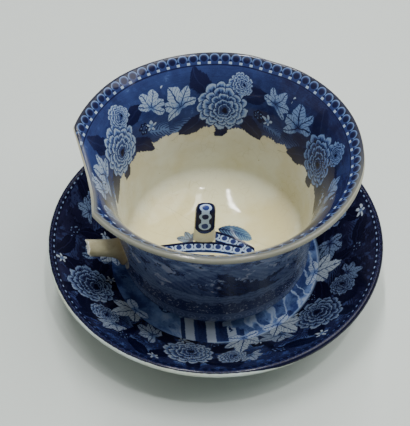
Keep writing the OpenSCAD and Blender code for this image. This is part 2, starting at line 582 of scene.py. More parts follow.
def ring_cells(azimuth, count, start, radius):
    """Folds the way round into like cells: distance across the cell in mm, and its number."""
    turns = (azimuth - math.radians(start)) * (count / TURN) + count
    number = calc("FLOOR", turns + 0.5)
    across = (turns - number) * (TURN / count) * radius
    return across, calc("MODULO", number, float(count))


def laid(ground, motif, vector):
    """Tone with one motif drawn over it."""
    cover, tone = motif(vector)
    return blend_numbers(ground, tone, cover)


# Layouts of a band's cell: tones of its ground, the run of its ink, and its motifs, each at x and
# y in millimetres from the cell's middle, with its turn in degrees and its size in millimetres
CUP_LAYOUT = {
    "ground": 0.64, "clouds": 0.40, "mottle": 0.06, "dusk": 0.05, "darkest": 0.87,
    "bleed": 1.0,
    "fronds": ((26, -10, -25, 17), (-20, -10, 200, 17)),
    "dark leaves": ((-12, -9, 215, 16), (12, -10, -38, 15), (-9, 9, 128, 15), (14, 4, 20, 13),
                    (-1, -13, 265, 11)),
    "white leaves": ((-20, 3, 120, 12), (25, 6, 55, 9.5)),
    "blooms": ((0, -2, 15, 11.5), (7.5, 8.5, 60, 5.5)),
    "berries": ((-28, -3, 10, 3.2), (16, -3, 40, 2.8)),
    "sprigs": ((-29, 9, 30, 2.6), (20, -4, 75, 2.6)),
}

SAUCER_LAYOUT = {
    "ground": 0.77, "clouds": 0.42, "mottle": 0.22, "dusk": 0.11, "darkest": 1.0,
    "bleed": 1.9,
    "fronds": ((21, -5, 200, 18), (-17, 6, 20, 16), (3, 10, 170, 14)),
    "dark leaves": ((-11, -6, 205, 15), (12, 6, 25, 15), (12, -7, -25, 14), (-26, -3, 100, 14),
                    (-9, 7, 140, 13), (27, -8, 60, 12), (-2, -10, 285, 12), (20, 9, 120, 13),
                    (-20, 9, 215, 13), (4, 10, 80, 11)),
    "white leaves": ((-19, -6, 190, 10), (25, 5, 70, 7.5)),
    "blooms": ((0, 0, 15, 10.5), (17, 2, 60, 6.0)),
    "berries": ((-27, 6, 10, 3.0), (9, -10, 40, 2.6)),
    "sprigs": ((-12, 11, 30, 2.8), (28, -8, 75, 3.0), (-4, -11, 10, 2.4)),
}


def floral_band(across, up, number, layout, painted_shade):
    """Band of blooms and leaves. Coordinates are millimetres from the middle of each cell."""
    apart = joined(across, up, number * 9.0)
    pick = chance(number + 3.3)
    shift = vector_calc("MULTIPLY_ADD", pick, (4.0, 2.0, 0.0), (-2.0, -1.0, 0.0))
    _, ragged = noise(apart, 0.20, 2.0, 0.5)
    _, bleed = noise(apart, 0.95, 3.0, 0.6)
    leafy = shaken(vector_calc("ADD", joined(across, up), shift), ragged, 3.2)
    leafy = shaken(leafy, bleed, 0.45 * layout["bleed"])
    cloud, _ = noise(apart, 0.09, 3.0, 0.6)
    streak, _ = noise(tinted(apart, (0.25, 2.2, 1.0)), 0.8, 2.0, 0.6)
    mottle, _ = noise(apart, 0.32, 4.0, 0.65)
    # The last field is painted shade: it darkens the ground and, through dusk, the motifs where it
    # is high
    ground = (streak - 0.5) * 0.16 + painted_shade * 0.40 + layout["ground"]
    dusk = painted_shade * 0.5 + layout["dusk"]
    tone = (cloud - 0.5) * layout["clouds"] + ground
    tone = tone - step_up(mottle, 0.53, 0.61) * layout["mottle"]
    cover, shade = frond(nearest(leafy, layout["fronds"]))
    tone = blend_numbers(tone, shade + dusk + 0.16, cover)
    leaf_cover, shade = dark_leaf(nearest(leafy, layout["dark leaves"]))
    tone = blend_numbers(tone, shade * layout["darkest"], leaf_cover)
    white_cover, shade = veined_leaf(nearest(leafy, layout["white leaves"]))
    tone = blend_numbers(tone, shade + dusk, white_cover)
    bloom_cover, shade = bloom(nearest(shaken(leafy, bleed, 1.0), layout["blooms"]))
    shade = shade + (0.5 - mottle) * (layout["mottle"] * 2.0)
    tone = blend_numbers(tone, shade + dusk, bloom_cover)
    tone = laid(tone, berries, nearest(leafy, layout["berries"]))
    tone = laid(tone, sprig, nearest(leafy, layout["sprigs"]))
    return tone, most(most(leaf_cover, white_cover), bloom_cover)


def stippled(tone, place):
    """Tone broken up by fine engraved dots and by ink that has run a little."""
    fine, _ = noise(place, 2.6, 2.0, 0.7)
    broad, _ = noise(place, 0.12, 2.0, 0.5)
    return tone + (fine - 0.5) * 0.20 + (broad - 0.5) * 0.16


def ink_colour(tone, colours):
    """Colour of the print for a tone of 0, its white, to 1, its darkest blue."""
    tree = tone.tree
    node = tree.nodes.new("ShaderNodeValToRGB")
    ramp = node.color_ramp
    stops = ((0.0, colours.ink_white), (0.28, colours.ink_pale), (0.55, colours.ink_mid),
             (0.82, colours.ink_dark), (1.0, colours.ink_black))
    while len(ramp.elements) < len(stops):
        ramp.elements.new(0.5)
    for element, (place, colour) in zip(ramp.elements, stops):
        element.position = place
        element.color = (*colour, 1.0)
    feed(tree, node.inputs[0], tone)
    return Field(tree, node.outputs[0])


# Finishes, with their tints of the glaze and of the ink first

# Painted shade: the inside wall's glaze a little darker and cooler than the pooled floor
WALL_SHADE_TINT = (0.93, 0.95, 0.99)
POOLED_TINT = (1.0, 0.97, 0.80)
# Grey of the painted shade over the lip
LIP_SHADE_GREY = (0.110, 0.115, 0.099)
LEAF_TINT = (0.95, 1.05, 0.76)
OUTSIDE_TINT = (1.18, 0.95, 0.88)
# Painted shade: cooler, bluer cast of the saucer's glaze
SAUCER_SHADE_TINT = (0.89, 1.07, 1.38)
# Painted shade on the saucer's band away from its front
SIDE_SHADE_TINT = (1.0, 0.86, 0.74)
PALE_TINT = (1.14, 1.0, 0.83)
# Painted light: ink of the saucer's well made lighter
WELL_LIGHT_TINT = (1.50, 1.46, 1.52)
POST_TINT = (0.98, 1.07, 1.27)
STUB_TINT = (1.06, 1.01, 0.84)


def bare_glaze(place, colours):
    """Cream glaze with faint clouds, old stains, fine crazing and a few kiln specks."""
    cloud, _ = noise(place, 0.045, 3.0, 0.6)
    patch, _ = noise(place, 0.11, 4.0, 0.65)
    glaze = colours.glaze
    warm = tuple(c * k for c, k in zip(glaze, (0.93, 0.88, 0.76)))
    cool = tuple(c * k for c, k in zip(glaze, (1.03, 1.05, 1.08)))
    colour = blend_colours(warm, cool, step_up(cloud, 0.35, 0.65))
    colour = blend_colours(colour, colours.stain, step_up(patch, 0.60, 0.80) * 0.10)
    craze, _ = cells(place, 0.30, "DISTANCE_TO_EDGE")
    craze_line = step_up(craze, 0.035, 0.008) * step_up(patch, 0.42, 0.62)
    colour = blend_colours(colour, colours.stain, craze_line * 0.22)
    speck, speck_chance = cells(place, 0.16)
    rare = step_up(parts_of(speck_chance)[0], 0.80, 0.82)
    return blend_colours(colour, colours.stain, step_up(speck, 0.055, 0.035) * rare * 0.75)


def finished(tree, colour, place, roughness, bump=0.04, specular=0.34):
    """Ends a material: its colour, smears in its gloss and its slight unevenness, bump mm high."""
    shader = tree.nodes.new("ShaderNodeBsdfPrincipled")
    output = tree.nodes.new("ShaderNodeOutputMaterial")
    tree.links.new(shader.outputs[0], output.inputs[0])
    feed(tree, shader.inputs["Base Color"], colour)
    smear, _ = noise(place, 0.09, 3.0, 0.6)
    feed(tree, shader.inputs["Roughness"], (smear - 0.5) * 0.08 + roughness)
    shader.inputs["Specular IOR Level"].default_value = specular
    wave, _ = noise(place, 0.16, 2.0, 0.5)
    node = tree.nodes.new("ShaderNodeBump")
    node.inputs["Strength"].default_value = 1.0
    node.inputs["Distance"].default_value = bump * MM
    feed(tree, node.inputs["Height"], wave)
    tree.links.new(node.outputs[0], shader.inputs["Normal"])
    return shader


def material_tree(name):
    """New material and its empty node tree."""
    material = bpy.data.materials.new(name)
    material.use_nodes = True
    material.node_tree.nodes.clear()
    return material, material.node_tree


def scaled_place(tree):
    """Place on the object at rest, in millimetres."""
    node = tree.nodes.new("ShaderNodeTexCoord")
    return tinted(Field(tree, node.outputs["Object"]), (1 / MM,) * 3)


def millimetres(tree, name):
    """Length that the mesh holds for each of its points, in millimetres."""
    return attribute(tree, name) * (1 / MM)


def round_the_axis(place):
    """Direction of a place from the axis and its distance from it."""
    x, y, _ = parts_of(place)
    return direction(x, y), length_of(joined(x, y))


# Strips of the border on the floor, the later over the earlier: centre x and y, outer radius,
# lowest and highest x, in millimetres
FLOOR_STRIPS = ((-10.0, -31.0, 40.2, 0.0, 17.0), (-5.0, -60.0, 62.0, -23.5, 11.5))
STRIP_WIDTH = 6.2


def floor_print(place):
    """Two leaves and strips of the border on the cup's floor: tone, cover and leaves' share."""
    x, y, _ = parts_of(place)
    flat = joined(x, y)
    _, bleed = noise(flat, 1.6, 2.0, 0.6)
    flat = shaken(flat, bleed, 0.5)
    small_cover, small_tone = veined_leaf(placed(flat, -12.5, 3.0, 170, 7))
    feather = placed(flat, 8.6, 6.4, -22, 15.5, 0.95)
    blade, _ = frond(feather)
    along, from_rib = from_midrib(feather)
    filled = step_up(half_width(along, 0.23, 0.55) - from_rib, -0.01, 0.01)
    cover = most(small_cover * 0.9, most(filled, blade))
    tone = blend_numbers(small_tone * 0.85 + 0.36, 0.50 - along * 0.30, filled)
    tone = blend_numbers(tone, 0.90 - along * 0.52, blade)
    leafy = 1.0
    for centre_x, centre_y, radius, low, high in FLOOR_STRIPS:
        dx, dy = x - centre_x, y - centre_y
        across = radius - length_of(joined(dx, dy))
        strip = (step_up(across, -0.1, 0.1) * step_up(across, STRIP_WIDTH, STRIP_WIDTH - 0.3)
                 * step_up(x, low - 0.15, low + 0.15) * step_up(x, high + 0.15, high - 0.15))
        tone = blend_numbers(tone, bead_border(direction(dy, dx) * radius, across, 1.0), strip)
        cover = most(cover, strip)
        leafy = leafy * (1.0 - strip)
    return tone, cover, leafy


# Inside of the cup: cells and beads round it, the first cell's direction in degrees, then
# distances down from the lip and heights, in millimetres
CUP_CELLS, CUP_FIRST = 5, 84.0
CUP_BEADS = 73
BEADS_TOP = 0.9
BAND_TOP = 6.4
BAND_MIDDLE = 21.5
BAND_FOOT = 34.0
POOL_HIGH, POOL_LOW = 27.0, 17.0
FLOOR_HIGH = 19.0


def cup_inside_material(colours):
    """Inside of the cup: beaded border, floral band with a ragged foot, bare glaze, floor print."""
    material, tree = material_tree("cup inside print")
    place = scaled_place(tree)
    x, y, z = parts_of(place)
    azimuth, radius = round_the_axis(place)
    down = millimetres(tree, "down")
    from_lip = millimetres(tree, "from_lip")
    across, number = ring_cells(azimuth, CUP_CELLS, CUP_FIRST, radius)
    # Painted shade: the band darkens towards the right side of the cup
    tone, motif_cover = floral_band(-across, BAND_MIDDLE - down, number, CUP_LAYOUT,
                                    step_up(x, 0.0, 42.0) * 0.36)
    beads = bead_border(azimuth * (CUP_BEADS * BEAD_PITCH / TURN), down - BEADS_TOP)
    tone = blend_numbers(tone, beads, step_up(down, BAND_TOP + 0.1, BAND_TOP - 0.1))
    tone = stippled(tone, place)
    along = azimuth * 46.0
    waver, _ = noise(joined(along, 0.0), 0.16, 4.0, 0.65)
    nibble, _ = noise(joined(along, down), 0.9, 2.0, 0.6)
    foot = down + (waver - 0.5) * 9.0 + (nibble - 0.5) * 2.4
    print_cover = most(step_up(foot, BAND_FOOT, BAND_FOOT - 0.6),
                       motif_cover * step_up(down, BAND_FOOT + 5.0, BAND_FOOT + 4.5))
    far_side = step_up(y, -30.0, -5.0)
    print_cover = print_cover * step_up(from_lip + far_side * 0.7, 0.7, 0.95)
    glaze = bare_glaze(place, colours)
    pool = step_up(z, POOL_HIGH, POOL_LOW)
    # Painted shade darkens and cools the inside wall; the pooled glaze on the floor is warmer
    glaze = blend_vectors(tinted(glaze, WALL_SHADE_TINT), tinted(glaze, POOLED_TINT), pool)
    on_floor = step_up(z, FLOOR_HIGH, FLOOR_HIGH - 1.0)
    floor_tone, floor_cover, leafy = floor_print(place)
    tone = blend_numbers(tone, floor_tone, on_floor)
    cover = blend_numbers(print_cover, floor_cover, on_floor)
    ink = ink_colour(tone, colours)
    ink = blend_vectors(ink, tinted(ink, LEAF_TINT), leafy * on_floor)
    colour = blend_colours(glaze, ink, cover)
    # Painted shade over the lip, strongest on the near side
    colour = blend_colours(colour, LIP_SHADE_GREY, lip_shade(y, from_lip))
    worn = worn_lip(place, from_lip) * (1.0 - far_side * 0.8)
    colour = blend_colours(colour, colours.stain, worn)
    finished(tree, colour, place, 0.09 - pool * 0.035, specular=0.20)
    return material


def lip_shade(y, from_lip):
    """Share of painted shade over the lip, most of it on the near side."""
    near = step_up(y, 10.0, -35.0) * 0.72 + 0.15
    return step_up(from_lip, 3.4, 1.2) * near


def worn_lip(place, from_lip):
    """Cover of the brown wear along the lip's two edges."""
    patch, _ = noise(place, 0.35, 3.0, 0.6)
    return step_up(abs(from_lip - 1.0), 0.5, 0.0) * step_up(patch, 0.45, 0.75) * 0.35


def landscape(across, up, number, place):
    """Clouds, hills, trees and a shore in low contrast. Both fields are in millimetres."""
    plain = joined(across, up, number * 7.0)
    _, ragged = noise(plain, 0.22, 3.0, 0.65)
    wx, wy, _ = parts_of(shaken(joined(across, up), ragged, 5.0))
    cloud, _ = noise(tinted(plain, (0.8, 1.2, 1.0)), 0.10, 3.0, 0.6)
    leafy, _ = noise(place, 0.9, 3.0, 0.7)
    tone = step_up(cloud, 0.60, 0.40) * 0.30 + 0.26
    far_line = sine(wx * 0.13) * 4.0 + sine(wx * 0.29 + 1.0) * 2.0 + 8.0
    slope = step_up(sine((wx * 0.9 + wy) * 1.7), -0.3, 0.8) * 0.06
    tone = blend_numbers(tone, slope + 0.44, step_up(far_line - wy, -0.3, 0.6))
    peak = 9.0 - abs(wx - 7.0) * 0.75
    side = step_up(wx - 7.0 + (leafy - 0.5) * 5.0, -0.6, 0.6) * 0.22
    tone = blend_numbers(tone, slope + side + 0.52, step_up(peak - wy, -0.3, 0.5))
    clump, _ = noise(joined(wx, wy, number * 3.0), 0.105, 4.0, 0.68)
    tone = blend_numbers(tone, leafy * 0.4 + 0.56, step_up(clump, 0.56, 0.61))
    light, _ = noise(joined(wx, wy, number * 3.0 + 20.0), 0.12, 4.0, 0.7)
    tone = blend_numbers(tone, (leafy - 0.5) * 0.5 + 0.21, step_up(light, 0.57, 0.63))
    water = step_up(wy, -10.0, -11.0)
    ripple = step_up(sine(wy * 3.2 + sine(wx * 0.35) * 1.2), 0.2, 0.9) * 0.12 + 0.36
    tone = blend_numbers(tone, ripple + (leafy - 0.5) * 0.25, water)
    scallops = abs(sine(wx * 0.62)) * 1.8
    bank = step_up(wy - scallops, -17.0, -17.6)
    bright = step_up(leafy, 0.56, 0.64) * 0.42
    return blend_numbers(tone, 0.60 - bright, bank)


SCROLL_PITCH = 4.6
SCROLL_WIDTH = 6.0


def scroll_border(along, across):
    """Border of small scrolls between two lines. Both fields are in millimetres."""
    x = (fraction(along / SCROLL_PITCH) - 0.5) * SCROLL_PITCH
    y = across - SCROLL_WIDTH / 2
    reach = length_of(joined(x, y))
    curl = sine(reach * 4.2 - direction(x, y))
    tone = blend_numbers(0.47, 0.33, step_up(curl, 0.1, 0.7) * step_up(reach, 2.2, 1.9))
    lines = [step_up(abs(across - line), 0.4, 0.2) for line in (0.4, SCROLL_WIDTH - 0.4)]
    return blend_numbers(tone, 0.42, most(*lines))


# Outside of the cup: scenes and scrolls round it, the first scene's direction in degrees, then
# heights in millimetres, and how far below the stub's root the bare patch has its middle
SCENE_CELLS, SCENE_FIRST = 3, 262.0
SCENE_MIDDLE = 46.0
SCROLLS = 54
SCROLLS_HIGH, SCROLLS_LOW = 22.5, 16.25
PRINT_LOW = 12.25
ROOT_DROP = 1.5


def cup_outside_material(colours, stub):
    """Outside of the cup: a plain landscape over a scroll border, bare lip and underside."""
    material, tree = material_tree("cup outside print")
    place = scaled_place(tree)
    _, y, z = parts_of(place)
    azimuth, radius = round_the_axis(place)
    from_lip = millimetres(tree, "from_lip")
    across, number = ring_cells(azimuth, SCENE_CELLS, SCENE_FIRST, radius)
    tone = landscape(across, z - SCENE_MIDDLE, number, place)
    scrolls = scroll_border(azimuth * (SCROLLS * SCROLL_PITCH / TURN), SCROLLS_HIGH - z)
    tone = blend_numbers(tone, scrolls, step_up(z, SCROLLS_HIGH + 0.2, SCROLLS_HIGH - 0.1))
    tone = blend_numbers(tone, 0.58, step_up(z, SCROLLS_LOW + 0.15, SCROLLS_LOW - 0.15))
    tone = stippled(tone * 1.08 - 0.09, place)
    cover = step_up(from_lip, 1.0, 1.5) * step_up(z, PRINT_LOW - 0.25, PRINT_LOW + 0.25)
    root_height = (CUP_FOOT_LOW.z + stub.root_height) / MM - ROOT_DROP
    root = bare_root((azimuth - turn_from(stub.azimuth, 0.0)) * radius, z - root_height, place)
    cover = cover * (1.0 - root)
    ink = tinted(ink_colour(tone, colours), OUTSIDE_TINT)
    colour = blend_colours(bare_glaze(place, colours), ink, cover)
    # Painted shade over the lip, strongest on the near side
    colour = blend_colours(colour, LIP_SHADE_GREY, lip_shade(y, from_lip))
    colour = blend_colours(colour, colours.stain, worn_lip(place, from_lip))
    finished(tree, colour, place, 0.22)
    return material


def bare_root(aside, up, place):
    """Cover of the bare patch round the stub's root, with a point running down from it."""
    ragged, _ = noise(place, 0.5, 2.0, 0.6)
    reach = length_of(joined(aside, up * 0.8))
    patch = step_up(reach + (ragged - 0.5) * 2.0, 7.4, 6.8)
    spike_width = (up + 20.0) * 0.16
    spike = step_up(spike_width - abs(aside - 1.0), -0.1, 0.1) * step_up(up, 0.0, -1.0)
    return most(patch, spike * step_up(up, -19.5, -19.0))


# Top of the saucer: cells, dashes and leaves round it, the directions of the first in degrees,
# then radii and lengths in millimetres
SAUCER_CELLS, SAUCER_FIRST = 6, 262.0
BAND_RADIUS = 55.5
DASHES = 140
DASH_PITCH = 3.1
DASH_MIDDLE = 4.1
LEAF_CELLS, LEAF_FIRST = 17, 10.0
LEAF_RADIUS = 48.0


def saucer_material(colours, ring_radius):
    """Top of the saucer: dark edge, dashes, floral band, pale ring and the well's print."""
    material, tree = material_tree("saucer top print")
    place = scaled_place(tree)
    x, y, _ = parts_of(place)
    azimuth, radius = round_the_axis(place)
    from_lip = millimetres(tree, "from_lip")
    across, number = ring_cells(azimuth, SAUCER_CELLS, SAUCER_FIRST, radius)
    # Painted shade: the band darkens towards the back and the right of the saucer
    painted_shade = step_up(y, -60.0, -10.0) * 0.32 + step_up(x, 5.0, 55.0) * 0.10
    tone, _ = floral_band(across, (radius - BAND_RADIUS) * 1.2, number, SAUCER_LAYOUT, painted_shade)
    edge_tone = saucer_edge(azimuth * (DASHES * DASH_PITCH / TURN), from_lip + 1.5,
                            step_up(y, -30.0, -58.0) * 0.34 + 0.24)
    tone = blend_numbers(tone, edge_tone, step_up(from_lip, 3.6, 3.3))
    in_well = step_up(radius, ring_radius + 0.2, ring_radius - 0.2)
    tone = blend_numbers(tone, well_print(place), in_well)
    breaks, _ = noise(place, 0.05, 2.0, 0.5)
    ring = step_up(abs(radius - ring_radius), 1.0, 0.25)
    ring = ring * step_up(x + (breaks - 0.5) * 90.0, -6.0, 8.0)
    tone = blend_numbers(tone, 0.08, ring * 0.75)
    leaf_cover, leaf_tone = ring_leaves(azimuth, radius, ring_radius, place)
    tone = blend_numbers(tone, leaf_tone * 0.9, leaf_cover)
    tone = stippled(tone, place)
    nibble, _ = noise(place, 0.5, 3.0, 0.6)
    over = step_up(x, 8.0, 38.0) * 1.8
    cover = step_up(from_lip + over + (nibble - 0.5) * 0.5, 0.1, 0.35)
    ink = ink_colour(tone, colours)
    pale = step_up(tone, 0.55, 0.30) * step_up(tone, -0.10, 0.24) * (1.0 - in_well)
    ink = blend_vectors(ink, tinted(ink, PALE_TINT), pale)
    # Painted shade: middle tones of the band's ink darker and less blue away from the front
    deep = step_up(y, -60.0, -25.0) * step_up(tone, 0.25, 0.55)
    band_ink = blend_vectors(ink, tinted(ink, SIDE_SHADE_TINT), deep)
    # Painted light: the well's ink lightened all over, making up for the cup's shadow on it
    ink = blend_vectors(band_ink, tinted(ink, WELL_LIGHT_TINT), in_well)
    # The saucer's bare glaze takes a cooler cast as painted shade
    colour = blend_colours(tinted(bare_glaze(place, colours), SAUCER_SHADE_TINT), ink, cover)
    finished(tree, colour, place, step_up(from_lip, 3.2, 0.6) * 0.06 + 0.12, specular=0.20)
    return material


def saucer_edge(along, across, dash_tone):
    """Near black edge with faint scallops, then a row of small pale dashes."""
    x = abs(fraction(along / DASH_PITCH) - 0.5) * DASH_PITCH
    dash = step_up(x, 0.80, 0.45) * step_up(abs(across - DASH_MIDDLE), 0.42, 0.20)
    bow = abs(length_of(joined(x, across - 1.9)) - 1.15)
    scallop = step_up(bow, 0.22, 0.08) * step_up(across, 1.9, 2.1)
    tone = blend_numbers(0.97, 0.74, scallop)
    return blend_numbers(tone, dash_tone, dash)


def ring_leaves(azimuth, radius, ring_radius, place):
    """Pale leaves that grow out of the pale ring in some places: their cover and tone."""
    across, number = ring_cells(azimuth, LEAF_CELLS, LEAF_FIRST, LEAF_RADIUS)
    lean, skip, _ = parts_of(chance(number + 7.7))
    _, ragged = noise(place, 0.5, 2.0, 0.6)
    rx, ry, _ = parts_of(ragged)
    out = radius - ring_radius + (rx - 0.5) * 1.6
    aside = across + (lean - 0.5) * out * 0.9 + (ry - 0.5) * 1.6
    cover, tone = veined_leaf(placed(joined(out, aside), 2.2, 0.0, 0.0, 11.5))
    return cover * calc("LESS_THAN", skip, 0.55), tone


COLUMN_SPACING = 8.6


def well_print(place):
    """Pale columns, clouds and foliage in the saucer's well."""
    x, y, _ = parts_of(place)
    flat = joined(x, y)
    _, ragged = noise(flat, 0.16, 3.0, 0.6)
    wx, wy, _ = parts_of(shaken(flat, ragged, 5.0))
    warped = joined(wx, wy)
    leafy, _ = noise(place, 1.0, 3.0, 0.7)
    cloud, _ = noise(warped, 0.075, 3.0, 0.6)
    wisp, _ = noise(joined(wx * 0.9 + wy * 0.3, wy * 0.25), 0.16, 2.0, 0.5)
    tone = step_up(cloud, 0.38, 0.62) * 0.26 + (leafy - 0.5) * 0.2 + 0.16
    # Darker towards the left, painting the cup's shadow there, and a little darker print towards
    # the right
    tone = tone + step_up(x, -16.0, -34.0) * 0.26 + step_up(x, 6.0, 26.0) * 0.15
    wisp = step_up(abs(wisp - 0.5), 0.060, 0.008) * step_up(x, -24.0, -8.0)
    tone = blend_numbers(tone, 0.10, wisp)
    way_across = (x + wy * 0.10) / COLUMN_SPACING
    pick = parts_of(chance(calc("FLOOR", way_across)))
    share = fraction(way_across)
    stands = step_up(wy + pick[0] * 9.0, -30.0, -31.0) * calc("LESS_THAN", pick[1], 0.45)
    side = abs(share - 0.5) * COLUMN_SPACING - 0.6 + (leafy - 0.5) * 0.8
    lit = step_up(share + (leafy - 0.5) * 0.1, 0.66, 0.60)
    tone = blend_numbers(tone, leafy * 0.4 + 0.50, stands * step_up(side, 4.2, 3.8))
    tone = blend_numbers(tone, 0.60 - lit * 0.60, step_up(side, 2.2, 1.9) * stands)
    clump, _ = noise(warped, 0.12, 4.0, 0.7)
    return blend_numbers(tone, leafy * 0.4 + 0.50, step_up(clump, 0.61, 0.64))


def plain_glaze_material(colours, name, tint=(1.0, 1.0, 1.0)):
    """Bare cream glaze, worn to brown clay on the band that a foot stands on."""
    material, tree = material_tree(name)
    place = scaled_place(tree)
    colour = bare_glaze(place, colours)
    grime, _ = noise(place, 0.6, 4.0, 0.7)
    worn = attribute(tree, "worn")
    colour = blend_colours(colour, colours.stain, worn * step_up(grime, 0.35, 0.7) * 0.75)
    finished(tree, tinted(colour, tint), place, 0.14)
    return material


# Strip of beads on the post: where its near face bends to the top, how much the way over the
# top counts, then ends, beads and half width, in millimetres of the way up
NEAR_FACE = 2.9
TOP_STRETCH = 1.15
STRIP_LOW, STRIP_HIGH = 9.65, 21.9
FIRST_BEAD, BEAD_STEP = 10.15, 5.84
STRIP_HALF = 4.2


def post_material(colours, lean):
    """Cream glaze with a round-ended strip of three ringed beads up the near face."""
    material, tree = material_tree("post glaze and beads")
    place = scaled_place(tree)
    middle = (POST_LOW + POST_HIGH) / 2 / MM
    x, y, z = parts_of(place)
    _, bleed = noise(place, 1.6, 2.0, 0.6)
    bx, by, _ = parts_of(bleed)
    height = z - POST_LOW.z / MM
    aside = abs(x - middle.x - height * lean + (bx - 0.5) * 0.5)
    up = height + most(y - (middle.y - NEAR_FACE), 0.0) * TOP_STRETCH + (by - 0.5) * 0.5
    beyond = most(most(STRIP_LOW - up, up - STRIP_HIGH), 0.0)
    strip = step_up(length_of(joined(aside, beyond)), STRIP_HALF + 0.15, STRIP_HALF - 0.1)
    strip = strip * step_up(y, middle.y + 1.6, middle.y + 1.0)
    row = calc("ROUND", (up - FIRST_BEAD) / BEAD_STEP)
    over_bead = up - FIRST_BEAD - row * BEAD_STEP
    ring = length_of(joined(aside, over_bead * 1.08))
    bead = length_of(joined(aside, over_bead * 0.88))
    counted = calc("LESS_THAN", abs(row - 1.0), 1.5)
    tone = blend_numbers(0.97, 0.02, step_up(ring, 2.68, 2.50) * counted)
    waist = step_up(aside, 1.75, 1.55)
    waist = waist * step_up(abs(up - FIRST_BEAD - BEAD_STEP), BEAD_STEP, BEAD_STEP - 0.3)
    tone = blend_numbers(tone, 0.02, waist)
    middle_bead = calc("LESS_THAN", abs(row - 1.0), 0.5)
    tone = blend_numbers(tone, middle_bead * 0.22 + 0.62, step_up(bead, 1.55, 1.35) * counted)
    tone = blend_numbers(tone, 0.72, step_up(up, STRIP_LOW - 2.0, STRIP_LOW - 3.0))
    ink = tinted(ink_colour(stippled(tone, place), colours), POST_TINT)
    colour = blend_colours(bare_glaze(place, colours), ink, strip)
    finished(tree, colour, place, 0.11, specular=0.10)
    return material


def stub_material(colours):
    """Old cream glaze stained tan, browner at the root, with bare clay on the broken end."""
    material, tree = material_tree("stained glaze and broken clay")
    place = scaled_place(tree)
    out = attribute(tree, "out")
    patch, _ = noise(place, 0.25, 4.0, 0.65)
    streak, _ = noise(tinted(place, (0.4, 1.6, 1.6)), 0.5, 3.0, 0.6)
    glaze = tuple(c * k for c, k in zip(colours.glaze, STUB_TINT))
    colour = blend_colours(glaze, colours.stain, step_up(patch, 0.35, 0.75) * 0.30)
    colour = blend_colours(colour, colours.stain, step_up(out, 0.62, 0.05) * 0.72)
    colour = blend_colours(colour, colours.stain, step_up(streak, 0.5, 0.8) * 0.30)
    broken = step_up(out, 0.945, 0.960)
    colour = blend_colours(colour, colours.clay, broken)
    shader = finished(tree, colour, place, 0.3, bump=0.12)
    feed(tree, shader.inputs["Roughness"], broken * 0.55 + 0.26)
    return material


# Meshes

def mesh_piece(name, points, faces, attributes, materials, slots=None):
    """Smooth-shaded object from points, faces, numbers for each point and materials."""
    mesh = bpy.data.meshes.new(name)
    mesh.from_pydata([tuple(p) for p in points], [], faces)
    for key, values in attributes.items():
        layer = mesh.attributes.new(key, "FLOAT", "POINT")
        layer.data.foreach_set("value", np.asarray(values, dtype=np.float32))
    for material in materials:
        mesh.materials.append(material)
    if slots is not None:
        mesh.polygons.foreach_set("material_index", np.asarray(slots, dtype=np.int32))
    mesh.polygons.foreach_set("use_smooth", np.ones(len(mesh.polygons), dtype=bool))
    shell = bmesh.new()
    shell.from_mesh(mesh)
    bmesh.ops.recalc_face_normals(shell, faces=shell.faces)
    shell.to_mesh(mesh)
    shell.free()
    mesh.validate()
    mesh.update()
    piece = bpy.data.objects.new(name, mesh)
    bpy.context.scene.collection.objects.link(piece)
    return piece


def around(columns):
    """Directions spread evenly round the axis."""
    return np.arange(columns) / columns * TURN


def revolved(radii, heights):
    """Points of rows that run round the axis. Each array is rows by columns."""
    angle = around(radii.shape[1])
    points = np.stack([radii * np.cos(angle), radii * np.sin(angle), heights], -1)
    return points.reshape(-1, 3)


def grid_faces(rows, columns, closed=False):
    """Quads between rows of points that run round, and the row of each quad."""
    faces, row_faces = [], []
    for i in range(rows if closed else rows - 1):
        j = (i + 1) % rows
        for k in range(columns):
            m = (k + 1) % columns
            faces.append((i * columns + k, i * columns + m, j * columns + m, j * columns + k))
            row_faces.append(i)
    return faces, row_faces


def capped_grid(points, columns, first_middle, last_middle):
    """Points and faces of a grid whose first and last row are closed with fans."""
    rows = len(points) // columns
    faces, row_faces = grid_faces(rows, columns)
    points = np.vstack([points, [first_middle, last_middle]])
    first, last = len(points) - 2, len(points) - 1
    base = (rows - 1) * columns
    for k in range(columns):
        m = (k + 1) % columns
        faces += [(first, m, k), (last, base + k, base + m)]
        row_faces += [0, rows - 1]
    return points, faces, row_faces


def arc_length(x, y):
    """Distance along a line of points."""
    return np.concatenate([[0], np.cumsum(np.hypot(np.diff(x), np.diff(y)))])


def moved_sideways(x, y, distance):
    """Line of points moved square to its direction, to the right for a positive distance."""
    dx, dy = np.gradient(x), np.gradient(y)
    size = np.hypot(dx, dy)
    return x + distance * dy / size, y - distance * dx / size


def add_piece(piece, body, nodes):
    """Says what a piece rides on, and hides the CAD nodes that it stands for."""
    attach(piece, body)
    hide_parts(*nodes)


# Where the lip wavers: direction and spread in degrees, and how far out in millimetres
RIM_BUMPS = ((65, 8, -0.85), (137, 15, 0.40), (0, 15, -0.40))


def turn_from(azimuth, middle):
    """Turn from one direction to others, within half a turn to each side."""
    return (azimuth - middle + math.pi) % TURN - math.pi


